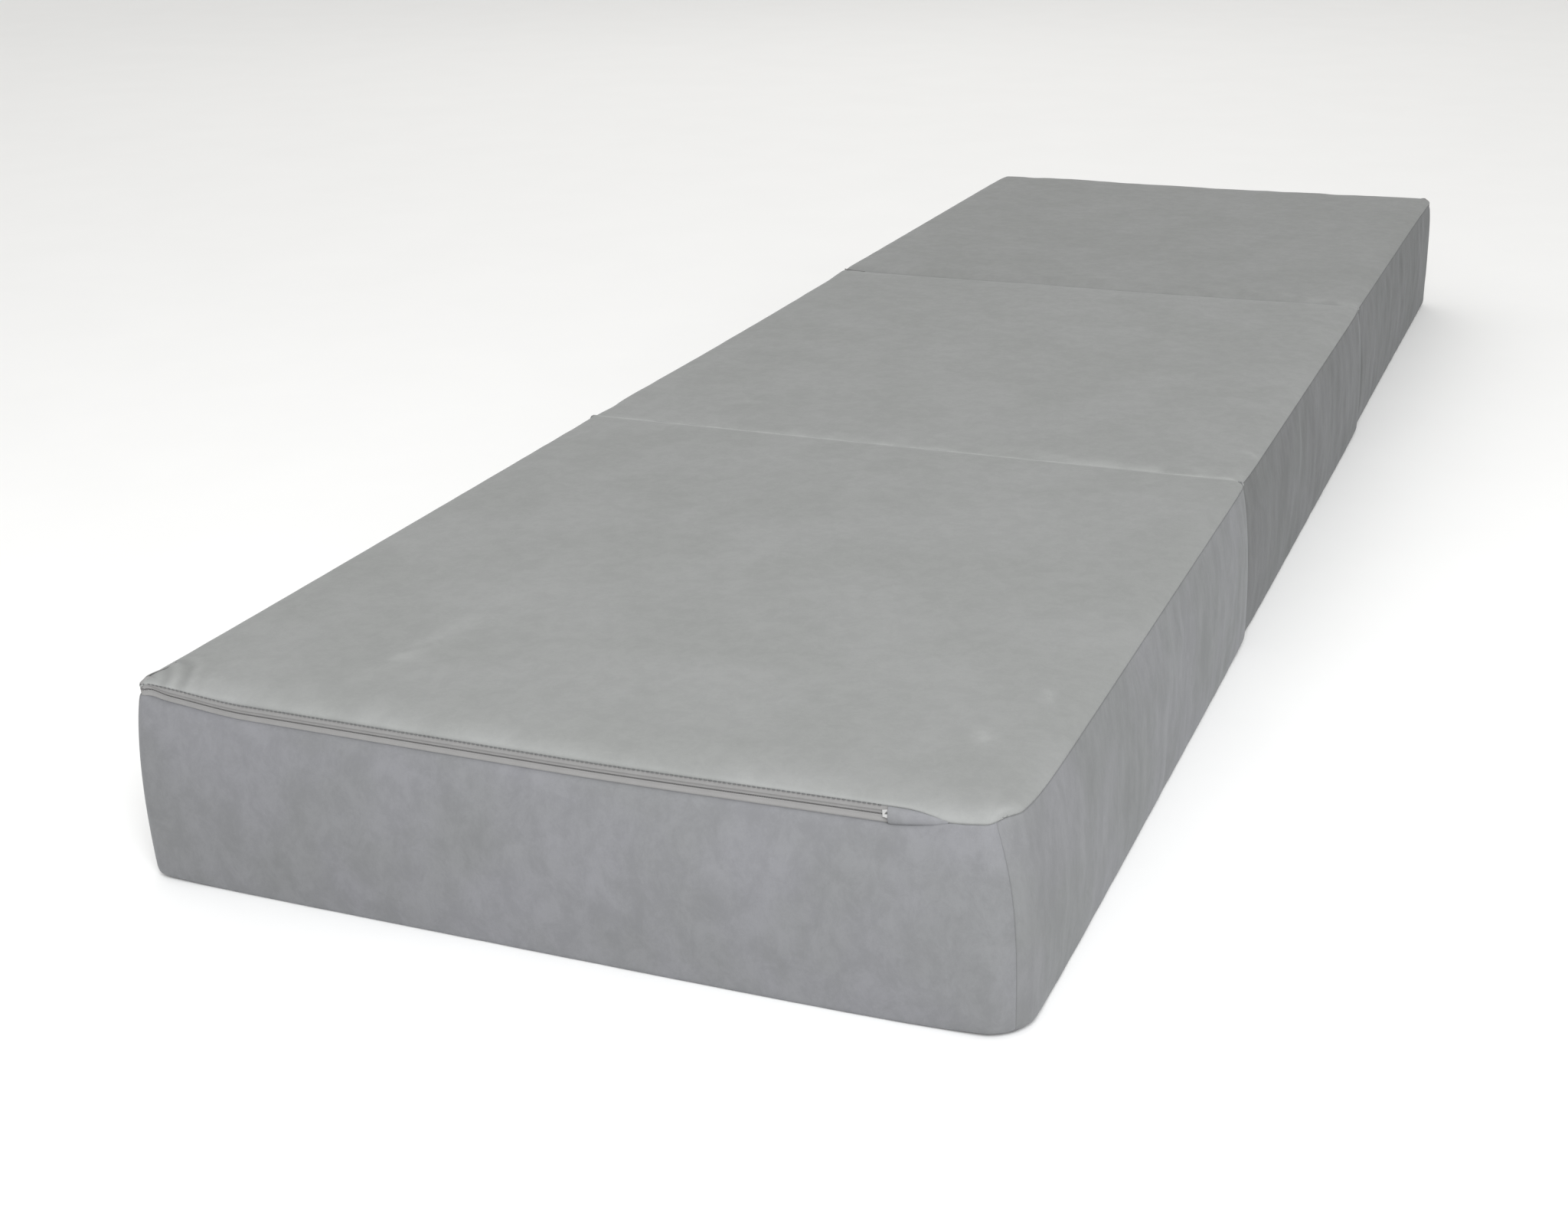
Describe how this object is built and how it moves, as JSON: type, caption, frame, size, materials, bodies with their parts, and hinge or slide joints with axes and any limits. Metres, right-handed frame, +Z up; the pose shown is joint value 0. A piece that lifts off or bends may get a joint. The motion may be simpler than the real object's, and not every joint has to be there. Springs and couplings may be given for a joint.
{
  "type": "folding pressure relief mattress",
  "caption": "Tri-fold pressure relief mattress: foam sections in zipped suede-like fabric covers, joined by sewn fold seams so that they stack flat.",
  "frame": {"origin": "centre of the mattress on the surface it lies on", "axes": "+Y along the mattress from the foot end to the head end, +X across its width, +Z up through its thickness"},
  "size_m": [0.65, 1.95, 0.156],
  "materials": {
    "cover_fabric": "short-pile suede-like knit",
    "relief_foam": "open-cell visco foam",
    "base_foam": "open-cell firm foam",
    "zip_tape": "woven herringbone tape",
    "zip_coil": "moulded nylon coil",
    "zip_metal": "nickel plated",
    "seam_tape": "sewn seam allowance"
  },
  "bodies": {
    "foot_section": {"foot_top_panel": "cover_fabric", "foot_bottom_panel": "cover_fabric", "foot_near_border": "cover_fabric", "foot_right_border": "cover_fabric", "foot_far_border": "cover_fabric", "foot_left_border": "cover_fabric", "foot_relief_foam": "relief_foam", "foot_base_foam": "base_foam", "foot_zip_upper_tape": "zip_tape", "foot_zip_lower_tape": "zip_tape", "foot_zip_upper_coil": "zip_coil", "foot_zip_lower_coil": "zip_coil", "foot_zip_garage": "cover_fabric", "top_fold_seam": "seam_tape"},
    "middle_section": {"middle_top_panel": "cover_fabric", "middle_bottom_panel": "cover_fabric", "middle_near_border": "cover_fabric", "middle_right_border": "cover_fabric", "middle_far_border": "cover_fabric", "middle_left_border": "cover_fabric", "middle_relief_foam": "relief_foam", "middle_base_foam": "base_foam", "middle_zip_upper_tape": "zip_tape", "middle_zip_lower_tape": "zip_tape", "middle_zip_upper_coil": "zip_coil", "middle_zip_lower_coil": "zip_coil", "middle_zip_garage": "cover_fabric", "bottom_fold_seam": "seam_tape"},
    "head_section": {"head_top_panel": "cover_fabric", "head_bottom_panel": "cover_fabric", "head_near_border": "cover_fabric", "head_right_border": "cover_fabric", "head_far_border": "cover_fabric", "head_left_border": "cover_fabric", "head_relief_foam": "relief_foam", "head_base_foam": "base_foam", "head_zip_upper_tape": "zip_tape", "head_zip_lower_tape": "zip_tape", "head_zip_upper_coil": "zip_coil", "head_zip_lower_coil": "zip_coil", "head_zip_garage": "cover_fabric"},
    "foot_zip_slider": {"foot_zip_slider": "zip_metal"},
    "foot_zip_pull": {"foot_zip_pull": "zip_metal"},
    "middle_zip_slider": {"middle_zip_slider": "zip_metal"},
    "middle_zip_pull": {"middle_zip_pull": "zip_metal"},
    "head_zip_slider": {"head_zip_slider": "zip_metal"},
    "head_zip_pull": {"head_zip_pull": "zip_metal"}
  },
  "joints": [
    {"name": "top_fold", "type": "hinge", "parent": "foot_section", "child": "middle_section", "pos_m": [0, -0.32533, 0.1575], "axis": [1, 0, 0], "range_deg": [0, 180]},
    {"name": "bottom_fold", "type": "hinge", "parent": "middle_section", "child": "head_section", "pos_m": [0, 0.32533, -0.0015], "axis": [-1, 0, 0], "range_deg": [0, 180]},
    {"name": "foot_zip_slide", "type": "slide", "parent": "foot_section", "child": "foot_zip_slider", "axis": [-1, 0, 0], "range_m": [0, 0.535]},
    {"name": "foot_zip_pull_swing", "type": "hinge", "parent": "foot_zip_slider", "child": "foot_zip_pull", "pos_m": [0.24, -0.97235, 0.1442], "axis": [0, 0, -1], "range_deg": [0, 180], "deforming": ["foot_zip_garage"]},
    {"name": "middle_zip_slide", "type": "slide", "parent": "middle_section", "child": "middle_zip_slider", "axis": [0, 1, 0], "range_m": [0, 0.535]},
    {"name": "middle_zip_pull_swing", "type": "hinge", "parent": "middle_zip_slider", "child": "middle_zip_pull", "pos_m": [-0.32235, -0.24, 0.1442], "axis": [0, 0, -1], "range_deg": [0, 180], "deforming": ["middle_zip_garage"]},
    {"name": "head_zip_slide", "type": "slide", "parent": "head_section", "child": "head_zip_slider", "axis": [1, 0, 0], "range_m": [0, 0.535]},
    {"name": "head_zip_pull_swing", "type": "hinge", "parent": "head_zip_slider", "child": "head_zip_pull", "pos_m": [-0.24, 0.97235, 0.1442], "axis": [0, 0, -1], "range_deg": [0, 180], "deforming": ["head_zip_garage"]}
  ]
}
